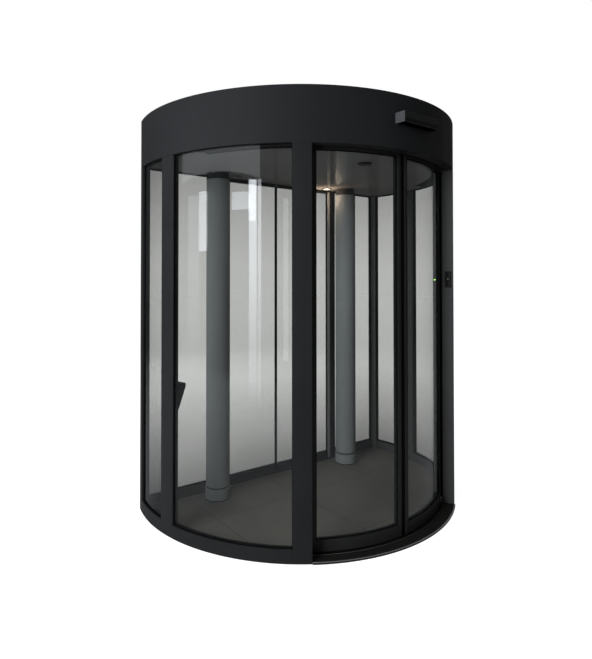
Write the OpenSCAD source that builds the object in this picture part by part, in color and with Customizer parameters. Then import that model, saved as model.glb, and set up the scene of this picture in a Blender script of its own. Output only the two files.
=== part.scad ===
// Interlocking security portal. A round glazed cabin is cut off by a flat
// glazed rear wall. A pair of curved leaves slides open at the entrance, and
// a pair of glass leaves swings outwards at the rear, between two round
// detector columns. The origin is on the drum's axis at ground level, the
// entrance faces -Y and the rear wall faces +Y.

/* [Drum] */
// Outer radius of the drum
drum_r = 1050; // [850:10:1300]
// Clear height from the ground to the canopy
passage_h = 2100; // [1750:10:2600]
// Height of the canopy fascia
fascia_h = 295; // [230:5:400]
// Radial depth of the entrance posts
frame_d = 69; // [54:1:90]
// Radial depth of the mullions, corner posts and base rails
slim_d = 45; // [34:1:54]
// Height of the curved base rails
base_h = 71; // [50:1:120]
// Thickness of the floor plate and the sills
floor_t = 10; // [6:1:16]

/* [Curved wall] */
// Angle from the entrance axis to each side of the entrance
opening_a = 33.25; // [26:0.25:39]
// Width of each entrance post, along its outer face
jamb_w = 98; // [80:1:130]
// Angle from the entrance axis to the middle of each mullion
mullion_a = 80.75; // [65:0.25:95]
// Width of each mullion, along its outer face
mullion_w = 102; // [80:1:130]
// Width of each corner post, along its outer face
corner_w = 65; // [40:1:90]
// Thickness of the fixed glass
glass_t = 12; // [8:1:16]
// Depth of the curved glass behind the drum's outer face
glass_recess = 13; // [8:1:16]
// Depth to which glass is let into a frame
glass_bite = 12; // [6:1:15]

/* [Rear wall] */
// Distance of the rear wall's inner face behind the drum's axis
wall_y = 204; // [180:1:300]
// Depth of the rear wall's posts and rails
wall_d = 45; // [34:1:80]
// Half of the clear width of the rear doorway
rear_half = 530; // [400:1:590]
// Width of each rear door post
rear_jamb_w = 31; // [20:1:50]
// How far each corner post stands inside the curved wall, along the rear wall
corner_step = 3; // [0:1:80]
// Height of the rear rails above the ground
rear_rail_h = 70; // [50:1:100]
// Thickness of the rear leaves
rear_leaf_t = 28; // [26:1:34]
// Height of the top rail of a rear leaf
rear_top_rail_h = 12; // [10:1:40]
// Room for the seals between the two rear leaves
rear_gap = 15; // [12:1:20]
// Radius of a rear leaf's pivot pins
pin_r = 5; // [4:0.5:7]
// Depth to which a pivot pin reaches into the leaf
pin_h = 24; // [16:1:40]

/* [Sliding leaves] */
// Radial thickness of a curved leaf
leaf_t = 38; // [30:1:46]
// Radial gap between a curved leaf and the entrance posts
leaf_gap = 14; // [10:1:20]
// Width of a leading stile
lead_w = 22; // [18:1:50]
// Width of a trailing stile
trail_w = 75; // [40:1:90]
// Angle at which the trailing stile starts inside the edge of the entrance
trail_inset_a = 1.7; // [0.5:0.1:3]
// Height of the bottom of the leaves above the floor plate
leaf_lift = 7; // [5:1:12]
// Height of the bottom rail of a curved leaf
leaf_rail_h = 61; // [45:1:90]
// Height of leaf top rail that shows below the canopy
leaf_top_show = 12; // [10:1:40]
// Thickness of the glass in the leaves
leaf_glass_t = 8; // [6:1:12]
// Depth of the leaf glass behind the leaf's outer face
leaf_glass_recess = 8; // [4:1:12]
// Depth to which the glass is let into a leaf frame
leaf_bite = 9; // [5:1:11]
// Room for the seals between the two sliding leaves
meeting_gap = 33; // [20:1:40]
// Angle of an open leaf that still shows beside its entrance post
open_show_a = 0.8; // [0:0.1:3]

/* [Columns] */
// Radius of a detector column
column_r = 76; // [60:1:90]
// Distance of each column from the symmetry plane
column_x = 562; // [450:1:660]
// Gap between each column's collar and the rear wall
column_gap = 38; // [8:1:60]
// Height of the column base collar
collar_h = 82; // [50:1:120]
// How far the collar stands out from the column
collar_out = 4; // [2:1:6]
// Height of the dark groove between collar and column
collar_groove_h = 8; // [4:1:10]
// Depth of that groove behind the column's face
collar_groove_d = 4; // [2:1:8]
// Height of the recessed neck at the top of a column
neck_h = 48; // [15:1:70]
// Depth of the neck behind the column's face
neck_d = 6; // [3:1:12]

/* [Canopy fittings] */
// Length of the sensor bar over the entrance
sensor_l = 284; // [200:1:400]
// Height of the sensor bar
sensor_h = 57; // [40:1:80]
// How far the sensor bar stands out from the fascia
sensor_out = 53; // [40:1:110]
// Height of the underside of the sensor bar above the canopy's lower edge
sensor_rise = 130; // [60:1:160]
// Diameter of a ceiling light
light_d = 66; // [50:1:100]
// Thickness of a ceiling light
light_t = 9; // [5:1:15]
// Distance of each ceiling light from its column's axis, sideways
light_in = 160; // [110:1:300]
// Distance of the ceiling lights behind the drum's axis
light_y = 122; // [-200:1:150]
// Diameter of the ceiling sensor
detector_d = 90; // [60:1:110]
// Thickness of the ceiling sensor
detector_t = 12; // [8:1:20]
// Distance from the header track to the middle of the ceiling sensor
detector_in = 240; // [80:1:500]

/* [Entrance fittings] */
// How far the entrance nosing stands out from the drum
nosing_out = 6; // [3:1:25]
// Width of the entrance nosing
nosing_w = 8; // [6:1:30]
// Height of the middle of the access reader above the ground
reader_z = 1411; // [1000:1:1700]
// Height of the access reader
reader_h = 100; // [70:1:140]
// Width of the access reader
reader_w = 36; // [25:1:40]
// Thickness of the access reader
reader_t = 9; // [6:1:15]
// Distance of the access reader behind the drum's outer face
reader_in = 14; // [5:1:17]
// Height of the top of the call console above the ground
console_z = 830; // [690:1:1100]
// Height of the call console
console_h = 138; // [110:1:220]
// Width of the call console
console_w = 84; // [60:1:100]
// How far the call console stands out at its top
console_out = 57; // [40:1:90]
// How far the call console stands out at its foot
console_foot = 12; // [8:1:30]
// Height of the upright front at the console's top
console_lip = 20; // [10:1:40]

/* [Hidden] */
$fn = 180;

// Clearances
seat = 0.3;           // between pieces that sit on or in each other
pin_clear = 0.05;     // radial clearance of a pivot pin
hinge_gap = 5;        // between a swinging leaf and its post
head_gap = 6;         // between a swinging leaf and the canopy
track_gap = 8;        // between a sliding leaf and the header track
hanger_gap = 10;      // between a sliding leaf's top and the track's lips
ceiling_gap = 2;      // between the posts' tops and the ceiling
stop_a = 2;           // run of the header track past an open leaf
over = 1;             // how far a cut runs past the face it opens
far = 3000;           // beyond every side of the drum

// Heights
total_h = passage_h + fascia_h;
flange_t = 8;         // lower flange of the canopy
sheet_t = 4;          // canopy cladding
roof_t = 4;
roof_ledge_t = 8;     // ring that carries the roof
ceiling_z = passage_h + ceiling_gap;
ceiling_t = 6;

// Angle that a width takes up at a radius
function turn(width, radius) = width / radius * 180 / PI;
// How far a curved face falls back over half of a width
function fall(width, radius) = radius - sqrt(radius * radius - width * width / 4);

// Curved wall
inner_r = drum_r - frame_d;
slim_r = drum_r - slim_d;
glass_out_r = drum_r - glass_recess;
glass_in_r = glass_out_r - glass_t;
wall_back = wall_y + wall_d;
jamb_end_a = opening_a + turn(jamb_w, drum_r);
mullion_a1 = mullion_a - turn(mullion_w, drum_r) / 2;
mullion_a2 = mullion_a + turn(mullion_w, drum_r) / 2;
corner_a = 90 + asin(wall_back / drum_r) - turn(corner_w, drum_r);
corner_x = sqrt(slim_r * slim_r - wall_y * wall_y) - corner_step;
bite_a = turn(glass_bite, glass_in_r);

// Sliding leaves
leaf_out_r = inner_r - leaf_gap;
leaf_in_r = leaf_out_r - leaf_t;
leaf_mid_r = (leaf_out_r + leaf_in_r) / 2;
leaf_glass_out_r = leaf_out_r - leaf_glass_recess;
leaf_glass_in_r = leaf_glass_out_r - leaf_glass_t;
leaf_lead_a = turn(meeting_gap / 2, leaf_mid_r);
leaf_trail_a = opening_a - trail_inset_a;
leaf_end_a = leaf_trail_a + turn(trail_w, leaf_out_r);
leaf_travel_a = opening_a - leaf_lead_a - open_show_a;
leaf_z = floor_t + leaf_lift;
leaf_glass_z = leaf_z + leaf_rail_h;
leaf_glass_top = passage_h - leaf_top_show;
leaf_rise = 25;       // how far a sliding leaf reaches into the header track
leaf_top = passage_h + leaf_rise;

// Header track: a box section with lips that carry the hanger rollers
track_wall = 4;
track_in_r = leaf_in_r - track_gap - track_wall;
track_out_r = inner_r - seat;
track_a = leaf_end_a + leaf_travel_a + stop_a;
track_lip_z = leaf_top + hanger_gap;
track_room = 50;      // height of the track above the underside of its lips
track_top = track_lip_z + track_room;
track_crown = 8;      // thickness of the track's crown over the slot
track_slot = 10;      // half width of the slot for the hanger stems
roller_r = 10;
roller_w = 12;
roller_gap = 1;       // between the slot's edge and a roller
stem_t = 8;
stem_w = 40;
axle_r = 4;

// Rear leaves
rear_mid_y = wall_y + wall_d / 2;
rear_leaf_y = rear_mid_y - rear_leaf_t / 2;
pivot_x = rear_half - hinge_gap - rear_leaf_t / 2;
pin_wall = 3;         // between a pivot pin and the glass groove
rear_stile_x = pivot_x - pin_r - pin_clear - pin_wall - leaf_bite;
rear_leaf_top = passage_h - head_gap;
boss_r = 14;

// Columns
column_y = wall_y - column_gap - column_r - collar_out;

// A curved bar between two radii, two angles from the entrance axis and two heights
module arc_bar(r1, r2, a1, a2, z1, z2) {
    rotate([0, 0, a1 - 90])
        rotate_extrude(angle = a2 - a1)
            translate([r1, z1]) square([r2 - r1, z2 - z1]);
}

// The drum's plan with its flat side at the given distance behind the axis
module drum_plan(radius, back) {
    intersection() {
        circle(r = radius);
        translate([-far, -far]) square([2 * far, far + back]);
    }
}

module left() { mirror([1, 0, 0]) children(); }

// Groove for the fixed curved glass, open at the top
module curved_groove(a1, a2, z1) {
    arc_bar(glass_in_r - seat, glass_out_r + seat, a1, a2, z1, passage_h + over);
}

// Groove for the fixed flat glass, open at the top
module flat_groove(x1, x2) {
    translate([x1, rear_mid_y - glass_t / 2 - seat, rear_rail_h - glass_bite - seat])
        cube([x2 - x1, glass_t + 2 * seat, passage_h]);
}

// ---- Floor ----

module floor_plate() {
    cut_a = jamb_end_a + turn(seat, inner_r);
    color("#3c3c38") difference() {
        linear_extrude(floor_t) drum_plan(slim_r - seat, wall_y - seat);
        arc_bar(inner_r - seat, slim_r + over, -cut_a, cut_a, -over, floor_t + over);
    }
}

module entrance_sill() {
    color("#2b2b2a")
        arc_bar(inner_r, drum_r + nosing_out - nosing_w - seat,
            -opening_a, opening_a, 0, floor_t);
}

module sill_nosing() {
    color("#8a8a88")
        arc_bar(drum_r + nosing_out - nosing_w, drum_r + nosing_out,
            -opening_a, opening_a, 0, floor_t);
}

module rear_sill() {
    color("#2b2b2a") {
        translate([-rear_half, wall_y, 0]) cube([2 * rear_half, wall_d, floor_t]);
        for (side = [-1, 1])
            translate([side * pivot_x, rear_mid_y, floor_t]) {
                cylinder(r = boss_r, h = leaf_lift - seat);
                cylinder(r = pin_r, h = leaf_lift + pin_h);
            }
    }
}

// ---- Curved wall ----

module jamb_post() {
    color("#2c2e30") difference() {
        arc_bar(inner_r, drum_r, opening_a, jamb_end_a, 0, passage_h);
        curved_groove(jamb_end_a - bite_a, jamb_end_a + over, base_h - glass_bite);
    }
}

module mullion() {
    color("#2c2e30") difference() {
        arc_bar(slim_r, drum_r, mullion_a1, mullion_a2, 0, passage_h);
        curved_groove(mullion_a1 - over, mullion_a1 + bite_a, base_h - glass_bite);
        curved_groove(mullion_a2 - bite_a, mullion_a2 + over, base_h - glass_bite);
    }
}

module corner_post() {
    color("#2c2e30") difference() {
        linear_extrude(passage_h) intersection() {
            drum_plan(drum_r, wall_back);
            difference() {
                polygon([[0, 0], [far * sin(corner_a), -far * cos(corner_a)],
                    [far, far], [0, far]]);
                drum_plan(slim_r, wall_y);
                translate([0, wall_y]) square([corner_x, far]);
            }
        }
        curved_groove(corner_a - over, corner_a + bite_a, base_h - glass_bite);
        flat_groove(corner_x - over, corner_x + glass_bite);
    }
}

module base_rail(a1, a2) {
    difference() {
        arc_bar(slim_r, drum_r, a1, a2, 0, base_h);
        curved_groove(a1 - over, a2 + over, base_h - glass_bite - seat);
    }
}

module base_rails() {
    color("#2c2e30") {
        base_rail(jamb_end_a, mullion_a1);
        base_rail(mullion_a2, corner_a);
    }
}

module curved_glass(a1, a2) {
    slip_a = bite_a - turn(seat, glass_in_r);
    color("#b9c2bd", 0.35)
        arc_bar(glass_in_r, glass_out_r, a1 - slip_a, a2 + slip_a,
            base_h - glass_bite, passage_h - seat);
}

module front_glass() { curved_glass(jamb_end_a, mullion_a1); }
module side_glass() { curved_glass(mullion_a2, corner_a); }

// ---- Canopy ----

module canopy_fascia() {
    color("#2e3134") translate([0, 0, passage_h]) {
        linear_extrude(flange_t) difference() {
            drum_plan(drum_r, wall_back);
            drum_plan(slim_r, wall_y);
        }
        arc_bar(inner_r, slim_r + over, -track_a, track_a, 0, flange_t);
        linear_extrude(fascia_h) difference() {
            drum_plan(drum_r, wall_back);
            drum_plan(drum_r - sheet_t, wall_back - sheet_t);
        }
        translate([0, 0, fascia_h - roof_t - roof_ledge_t]) linear_extrude(roof_ledge_t) difference() {
            drum_plan(drum_r - sheet_t / 2, wall_back - sheet_t / 2);
            drum_plan(drum_r - slim_d, wall_back - slim_d);
        }
        for (side = [-1, 1])
            translate([side * pivot_x, rear_mid_y, rear_leaf_top - pin_h - passage_h])
                cylinder(r = pin_r, h = passage_h + flange_t - rear_leaf_top + pin_h);
    }
}

module roof_panel() {
    color("#2b2d2f")
        translate([0, 0, total_h - roof_t])
            linear_extrude(roof_t)
                drum_plan(drum_r - sheet_t - seat, wall_back - sheet_t - seat);
}

module ceiling_panel() {
    color("#6a6a66") difference() {
        translate([0, 0, ceiling_z])
            linear_extrude(ceiling_t) drum_plan(slim_r - seat, wall_y - seat);
        arc_bar(track_in_r - seat, slim_r + over, -track_a, track_a,
            ceiling_z - over, ceiling_z + ceiling_t + over);
    }
}

module header_track() {
    end_a = track_a + over;
    color("#1f2022") difference() {
        arc_bar(track_in_r, track_out_r, -track_a, track_a, ceiling_z, track_top);
        arc_bar(track_in_r + track_wall, track_out_r - track_wall, -end_a, end_a,
            ceiling_z - over, track_lip_z);
        arc_bar(leaf_mid_r - track_slot, leaf_mid_r + track_slot, -end_a, end_a,
            track_lip_z - over, track_top - track_crown);
        arc_bar(track_in_r + track_wall, track_out_r - track_wall, -end_a, end_a,
            track_lip_z + track_wall, track_top - track_wall);
    }
}

module ceiling_lights() {
    color("#d8d8d2")
        for (side = [-1, 1])
            translate([side * (column_x - light_in), light_y, ceiling_z - seat - light_t])
                cylinder(d = light_d, h = light_t);
}

module ceiling_sensor() {
    color("#1b1c1d")
        translate([0, detector_in - track_in_r, ceiling_z - seat - detector_t])
            cylinder(d = detector_d, h = detector_t);
}

module sensor_bar() {
    bar_z = passage_h + sensor_rise;
    color("#26282a") difference() {
        translate([-sensor_l / 2, -drum_r - sensor_out, bar_z])
            cube([sensor_l, sensor_out + fall(sensor_l, drum_r), sensor_h]);
        translate([0, 0, bar_z - over]) cylinder(r = drum_r + seat, h = sensor_h + 2 * over);
    }
}

// ---- Entrance fittings ----

module access_reader() {
    color("#141516")
        rotate([0, 0, opening_a])
            translate([-reader_t - seat, -drum_r + reader_in, reader_z - reader_h / 2])
                cube([reader_t, reader_w, reader_h]);
}

module call_console() {
    back = seat + fall(console_w, slim_r);
    color("#101112")
        rotate([0, 0, -mullion_a])
            translate([console_w / 2, -slim_r, console_z - console_h])
                rotate([0, -90, 0])
                    linear_extrude(console_w)
                        polygon([[0, back], [0, console_foot], [console_h - console_lip, console_out],
                            [console_h, console_out], [console_h, back]]);
}

// ---- Columns ----

module column() {
    color("#63696d") translate([column_x, column_y, 0]) {
        translate([0, 0, floor_t + collar_h])
            cylinder(r = column_r, h = ceiling_z - neck_h - floor_t - collar_h);
        translate([0, 0, ceiling_z - neck_h])
            cylinder(r = column_r - neck_d, h = neck_h - seat);
    }
}

module column_base() {
    color("#5a6064") translate([column_x, column_y, floor_t]) {
        cylinder(r = column_r + collar_out, h = collar_h - collar_groove_h);
        cylinder(r = column_r - collar_groove_d, h = collar_h);
    }
}

// ---- Rear wall ----

module rear_jamb() {
    color("#2c2e30") difference() {
        translate([rear_half, wall_y, 0]) cube([rear_jamb_w, wall_d, passage_h]);
        flat_groove(rear_half + rear_jamb_w - glass_bite, rear_half + rear_jamb_w + over);
    }
}

module rear_rail() {
    color("#2c2e30") difference() {
        translate([rear_half + rear_jamb_w, wall_y, 0])
            cube([corner_x - rear_half - rear_jamb_w, wall_d, rear_rail_h]);
        flat_groove(rear_half, corner_x + over);
    }
}

module rear_glass() {
    x1 = rear_half + rear_jamb_w - glass_bite + seat;
    x2 = corner_x + glass_bite - seat;
    color("#b9c2bd", 0.35)
        translate([x1, rear_mid_y - glass_t / 2, rear_rail_h - glass_bite])
            cube([x2 - x1, glass_t, passage_h - seat - rear_rail_h + glass_bite]);
}

// ---- Sliding leaves ----

// Stem and rollers that carry a leaf in the header track
module hanger(angle) {
    axle_z = track_lip_z + track_wall + seat + roller_r;
    wheel_y = track_slot + roller_gap + roller_w / 2;
    rotate([0, 0, angle]) translate([0, -leaf_mid_r, 0]) {
        translate([-stem_w / 2, -stem_t / 2, leaf_top - over])
            cube([stem_w, stem_t, axle_z + roller_r - leaf_top + over]);
        translate([0, 0, axle_z]) rotate([90, 0, 0]) {
            cylinder(r = axle_r, h = 2 * wheel_y, center = true);
            for (side = [-1, 1])
                translate([0, 0, side * wheel_y])
                    cylinder(r = roller_r, h = roller_w, center = true);
        }
    }
}

module leaf_frame() {
    leaf_bite_a = turn(leaf_bite, leaf_glass_in_r);
    lead_end_a = leaf_lead_a + turn(lead_w, leaf_out_r);
    color("#2a2c2e") {
        difference() {
            arc_bar(leaf_in_r, leaf_out_r, leaf_lead_a, leaf_end_a, leaf_z, leaf_top);
            arc_bar(leaf_in_r - over, leaf_out_r + over, lead_end_a, leaf_trail_a,
                leaf_glass_z, leaf_glass_top);
            arc_bar(leaf_glass_in_r - seat, leaf_glass_out_r + seat,
                lead_end_a - leaf_bite_a, leaf_trail_a + leaf_bite_a,
                leaf_glass_z - leaf_bite, leaf_glass_top + leaf_bite);
        }
        for (share = [0.2, 0.8])
            hanger(leaf_lead_a + share * (leaf_end_a - leaf_lead_a));
    }
}

module leaf_glass() {
    slip_a = turn(leaf_bite - seat, leaf_glass_in_r);
    color("#b9c2bd", 0.35)
        arc_bar(leaf_glass_in_r, leaf_glass_out_r,
            leaf_lead_a + turn(lead_w, leaf_out_r) - slip_a, leaf_trail_a + slip_a,
            leaf_glass_z - leaf_bite + seat, leaf_glass_top + leaf_bite - seat);
}

// ---- Rear leaves ----

module rear_leaf_frame() {
    lead_x = rear_gap / 2;
    color("#2c2e30") difference() {
        union() {
            translate([lead_x, rear_leaf_y, leaf_z])
                cube([pivot_x - lead_x, rear_leaf_t, rear_rail_h - leaf_z]);
            translate([lead_x, rear_leaf_y, rear_leaf_top - rear_top_rail_h])
                cube([pivot_x - lead_x, rear_leaf_t, rear_top_rail_h]);
            translate([rear_stile_x, rear_leaf_y, leaf_z])
                cube([pivot_x - rear_stile_x, rear_leaf_t, rear_leaf_top - leaf_z]);
            translate([pivot_x, rear_mid_y, leaf_z])
                cylinder(d = rear_leaf_t, h = rear_leaf_top - leaf_z);
        }
        translate([lead_x - over, rear_mid_y - glass_t / 2 - seat, rear_rail_h - leaf_bite])
            cube([rear_stile_x + leaf_bite - lead_x + over, glass_t + 2 * seat,
                rear_leaf_top - rear_top_rail_h - rear_rail_h + 2 * leaf_bite]);
        for (z = [leaf_z - over, rear_leaf_top - pin_h - over])
            translate([pivot_x, rear_mid_y, z]) cylinder(r = pin_r + pin_clear, h = pin_h + 2 * over);
    }
}

module rear_leaf_glass() {
    lead_x = rear_gap / 2;
    color("#b9c2bd", 0.35)
        translate([lead_x, rear_mid_y - glass_t / 2, rear_rail_h - leaf_bite + seat])
            cube([rear_stile_x + leaf_bite - seat - lead_x, glass_t,
                rear_leaf_top - rear_top_rail_h - rear_rail_h + 2 * (leaf_bite - seat)]);
}

floor_plate();
entrance_sill();
sill_nosing();
rear_sill();
left() jamb_post();  // left_jamb_post
jamb_post();  // right_jamb_post
left() mullion();  // left_mullion
mullion();  // right_mullion
left() corner_post();  // left_corner_post
corner_post();  // right_corner_post
left() base_rails();  // left_base_rails
base_rails();  // right_base_rails
left() front_glass();  // left_front_glass
front_glass();  // right_front_glass
left() side_glass();  // left_side_glass
side_glass();  // right_side_glass
canopy_fascia();
roof_panel();
ceiling_panel();
header_track();
ceiling_lights();
ceiling_sensor();
sensor_bar();
access_reader();
call_console();
left() column();  // left_column
column();  // right_column
left() column_base();  // left_column_base
column_base();  // right_column_base
left() rear_jamb();  // rear_left_jamb
rear_jamb();  // rear_right_jamb
left() rear_rail();  // rear_left_rail
rear_rail();  // rear_right_rail
left() rear_glass();  // rear_left_glass
rear_glass();  // rear_right_glass
left() leaf_frame();  // left_leaf_frame
left() leaf_glass();  // left_leaf_glass
leaf_frame();  // right_leaf_frame
leaf_glass();  // right_leaf_glass
left() rear_leaf_frame();  // rear_left_leaf_frame
left() rear_leaf_glass();  // rear_left_leaf_glass
rear_leaf_frame();  // rear_right_leaf_frame
rear_leaf_glass();  // rear_right_leaf_glass
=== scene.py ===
import math

import bmesh
import bpy
from mathutils import Matrix, Vector


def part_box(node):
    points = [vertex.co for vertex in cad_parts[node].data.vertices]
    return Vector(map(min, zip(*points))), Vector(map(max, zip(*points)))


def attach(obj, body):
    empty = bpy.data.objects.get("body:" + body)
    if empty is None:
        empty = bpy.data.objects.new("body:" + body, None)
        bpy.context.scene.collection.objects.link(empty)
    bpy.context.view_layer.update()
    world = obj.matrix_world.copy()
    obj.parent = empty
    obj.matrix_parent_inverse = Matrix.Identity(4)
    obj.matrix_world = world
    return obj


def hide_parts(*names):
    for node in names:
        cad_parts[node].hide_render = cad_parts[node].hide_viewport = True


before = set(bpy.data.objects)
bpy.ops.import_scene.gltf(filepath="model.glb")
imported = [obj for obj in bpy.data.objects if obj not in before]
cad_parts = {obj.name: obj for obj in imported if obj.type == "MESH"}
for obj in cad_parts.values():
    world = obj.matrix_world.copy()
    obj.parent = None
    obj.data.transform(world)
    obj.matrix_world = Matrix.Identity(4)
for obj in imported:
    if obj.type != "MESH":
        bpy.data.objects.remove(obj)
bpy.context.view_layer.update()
print("frame loaded:", len(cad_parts), "nodes")


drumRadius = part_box("canopy_fascia")[1].x
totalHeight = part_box("canopy_fascia")[1].z
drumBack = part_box("canopy_fascia")[1].y - 0.00001  # a hair inside, for rounding
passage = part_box("right_jamb_post")[1].z
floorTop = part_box("floor_plate")[1].z
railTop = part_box("right_base_rails")[1].z
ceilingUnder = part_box("ceiling_panel")[0].z


def angleFromFront(y, radius):
    return math.degrees(math.acos(-y / radius))


def angleFromSide(x, radius):
    return math.degrees(math.asin(x / radius))


def turn(width, radius):
    return math.degrees(width / radius)


# angles are counted from the entrance, towards the right side
openingAngle = angleFromFront(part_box("right_jamb_post")[0].y, drumRadius)
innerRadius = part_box("right_jamb_post")[0].x / math.sin(math.radians(openingAngle))
jambEnd = angleFromSide(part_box("right_jamb_post")[1].x, drumRadius)
mullionStart = angleFromFront(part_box("right_mullion")[0].y, drumRadius)
mullionEnd = angleFromSide(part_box("right_mullion")[1].x, drumRadius)
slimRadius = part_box("right_mullion")[0].x / math.sin(math.radians(mullionStart))
cornerStart = angleFromFront(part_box("right_corner_post")[0].y, slimRadius)
trackEnd = angleFromSide(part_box("header_track")[1].x, innerRadius - 0.0003)
leafOuter = innerRadius - 0.014
leafInner = innerRadius - 0.052

leafLow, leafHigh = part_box("rear_right_leaf_frame")
pivot = {
    "x": leafHigh.x - (leafHigh.y - leafLow.y) / 2,
    "y": (leafLow.y + leafHigh.y) / 2,
    "radius": 0.005,
}


def allOf(bm):
    return bm.verts[:] + bm.edges[:] + bm.faces[:]


def outwardsAt(face):  # the level direction from the drum's axis to a face
    centre = face.calc_center_median()
    return Vector((centre.x, centre.y, 0)).normalized()


def roundEdges(bm, width, segments=2, sharpest=40, onlyIf=None):
    edges = [
        e
        for e in bm.edges
        if len(e.link_faces) == 2
        and e.calc_face_angle(0) > math.radians(sharpest)
        and (onlyIf is None or onlyIf(e))
    ]
    bmesh.ops.bevel(
        bm, geom=edges, offset=width, offset_type="OFFSET", segments=segments, profile=0.5,
        affect="EDGES", material=-1, clamp_overlap=True,
    )
    return bm


def turned(bm, angle, axis="Z"):
    matrix = Matrix.Rotation(math.radians(angle), 3, axis)
    bmesh.ops.rotate(bm, verts=bm.verts, cent=(0, 0, 0), matrix=matrix)
    return bm


def moved(bm, offset):
    bmesh.ops.translate(bm, verts=bm.verts, vec=offset)
    return bm


def mirrored(bm):
    bmesh.ops.scale(bm, verts=bm.verts, vec=(-1, 1, 1))
    bmesh.ops.recalc_face_normals(bm, faces=bm.faces)
    return bm


def cutAway(bm, point, direction):  # what lies beyond the plane is removed
    bmesh.ops.bisect_plane(bm, geom=allOf(bm), plane_co=point, plane_no=direction, clear_outer=True)
    return bm


def extruded(bm, offset):
    grown = bmesh.ops.extrude_face_region(bm, geom=bm.faces[:])
    ends = [v for v in grown["geom"] if isinstance(v, bmesh.types.BMVert)]
    bmesh.ops.translate(bm, verts=ends, vec=offset)
    return bm


def spun(bm, angle, steps, merge):
    bmesh.ops.spin(
        bm, geom=allOf(bm), cent=(0, 0, 0), axis=(0, 0, 1), dvec=(0, 0, 0), angle=angle, steps=steps,
        use_merge=merge, use_normal_flip=False, use_duplicate=False,
    )
    return bm


def sweep(profile, start, end, step=1.0, edge=0.0, segments=2):
    # profile is (radius, height) points, swept from start to end degrees
    bm = bmesh.new()
    bm.faces.new([bm.verts.new((0, -radius, height)) for radius, height in profile])
    turned(bm, start)
    spun(bm, math.radians(end - start), max(1, math.ceil((end - start) / step)), False)
    bmesh.ops.recalc_face_normals(bm, faces=bm.faces)
    return roundEdges(bm, edge, segments) if edge else bm


def bar(inner, outer, low, high, start, end, step=1.0, edge=0.0, segments=2):
    profile = ((inner, low), (outer, low), (outer, high), (inner, high))
    return sweep(profile, start, end, step, edge, segments)


def lathe(profile, centre=(0, 0), segments=96):
    # profile is (radius, height) points from bottom to top, closed at both ends
    bm = bmesh.new()
    points = [bm.verts.new((radius, 0, height)) for radius, height in profile]
    for a, b in zip(points, points[1:]):
        bm.edges.new((a, b))
    spun(bm, math.tau, segments, True)
    bmesh.ops.remove_doubles(bm, verts=bm.verts, dist=1e-6)
    bmesh.ops.holes_fill(bm, edges=[e for e in bm.edges if e.is_boundary], sides=0)
    bmesh.ops.recalc_face_normals(bm, faces=bm.faces)
    return moved(bm, (*centre, 0))


def rod(radius, low, high, centre=(0, 0), foot=0, top=0, segments=96):  # foot and top are chamfers
    profile = ((radius - foot, low), (radius, low + foot), (radius, high - top), (radius - top, high))
    return lathe(list(dict.fromkeys(profile)), centre, segments)


def block(low, high, edge=0.0, segments=2):
    bm = bmesh.new()
    bmesh.ops.create_cube(bm, size=1)
    low, high = Vector(low), Vector(high)
    bmesh.ops.scale(bm, verts=bm.verts, vec=high - low)
    moved(bm, (low + high) / 2)
    return roundEdges(bm, edge, segments) if edge else bm


def drumPlate(radius, back, segments=360):
    bm = bmesh.new()
    bmesh.ops.create_circle(bm, cap_ends=True, radius=radius, segments=segments)
    return cutAway(bm, (0, back, 0), (0, 1, 0))


def flatRing(radius, back, width, segments=360):
    bm = drumPlate(radius, back, segments)
    inset = bmesh.ops.inset_region(
        bm, faces=bm.faces[:], thickness=width, depth=0, use_boundary=True, use_even_offset=True
    )
    middle = [f for f in bm.faces if f not in inset["faces"]]
    bmesh.ops.delete(bm, geom=middle, context="FACES")
    return bm


def raised(bm, low, high):  # a flat plate becomes a solid between two heights
    moved(extruded(bm, (0, 0, high - low)), (0, 0, low))
    bmesh.ops.recalc_face_normals(bm, faces=bm.faces)
    return bm


def joined(*parts):
    # a part given as (mesh, slot) gets that material slot
    whole = bmesh.new()
    for part in parts:
        bm, slot = part if isinstance(part, tuple) else (part, 0)
        for face in bm.faces:
            face.material_index = slot
        carrier = bpy.data.meshes.new("carrier")
        bm.to_mesh(carrier)
        bm.free()
        whole.from_mesh(carrier)
        bpy.data.meshes.remove(carrier)
    return whole


def newObject(name, data):
    thing = bpy.data.objects.new(name, data)
    bpy.context.scene.collection.objects.link(thing)
    return thing


def meshObject(name, bm, materials):
    mesh = bpy.data.meshes.new(name)
    bm.to_mesh(mesh)
    bm.free()
    for material in materials:
        mesh.materials.append(material)
    return newObject(name, mesh)


def place(name, bm, materials, replaces=None, body="root", sharpAngle=32):
    piece = meshObject(name, bm, [finish[material] for material in materials])
    piece.data.shade_smooth()
    piece.data.set_sharp_from_angle(angle=math.radians(sharpAngle))
    piece.modifiers.new("face weighted normals", "WEIGHTED_NORMAL").keep_sharp = True
    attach(piece, body)
    if replaces:
        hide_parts(replaces)


def onBothSides(make):
    # the left side is the mirror image of the right one
    for side in ("right", "left"):
        make(side, (lambda bm: bm) if side == "right" else mirrored)


def addNode(tree, kind, inputs=None, **settings):
    # each input is given a number, a colour, or the output of another node
    node = tree.nodes.new("ShaderNode" + kind)
    node.location = (220 * len(tree.nodes), 0)
    for key, value in settings.items():
        setattr(node, key, value)
    for key, value in (inputs or {}).items():
        if isinstance(value, bpy.types.NodeSocket):
            tree.links.new(value, node.inputs[key])
        elif node.inputs[key].type == "RGBA":
            node.inputs[key].default_value = (*value, 1)
        else:
            node.inputs[key].default_value = value
    return node


def objectCoords(tree):
    return addNode(tree, "TexCoord").outputs["Object"]


def newMaterial(name):
    material = bpy.data.materials.new(name)
    material.use_nodes = True
    material.node_tree.nodes.clear()
    return material, material.node_tree, objectCoords(material.node_tree)


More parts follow.
